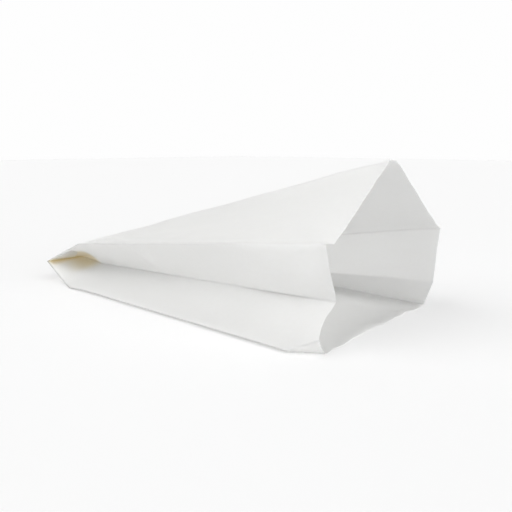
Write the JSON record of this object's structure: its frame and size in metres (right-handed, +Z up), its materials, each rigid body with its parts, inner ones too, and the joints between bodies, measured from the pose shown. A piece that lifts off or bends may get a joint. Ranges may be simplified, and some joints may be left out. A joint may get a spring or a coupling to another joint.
{
  "type": "paper bag",
  "caption": "Small white paper bag with gusseted sides, lying on one broad panel with its mouth open and its far end pinched shut.",
  "frame": {"origin": "centre of the bounding box's underside, on the surface that the bag lies on", "axes": "+X from the closed end towards the open mouth, +Y from the near gusset to the far gusset, +Z up from the panel that the bag lies on"},
  "size_m": [0.2574, 0.1324, 0.0952],
  "materials": {
    "white_paper": "matt bleached kraft paper"
  },
  "bodies": {
    "root": {"paper_bag": "white_paper"}
  },
  "joints": []
}
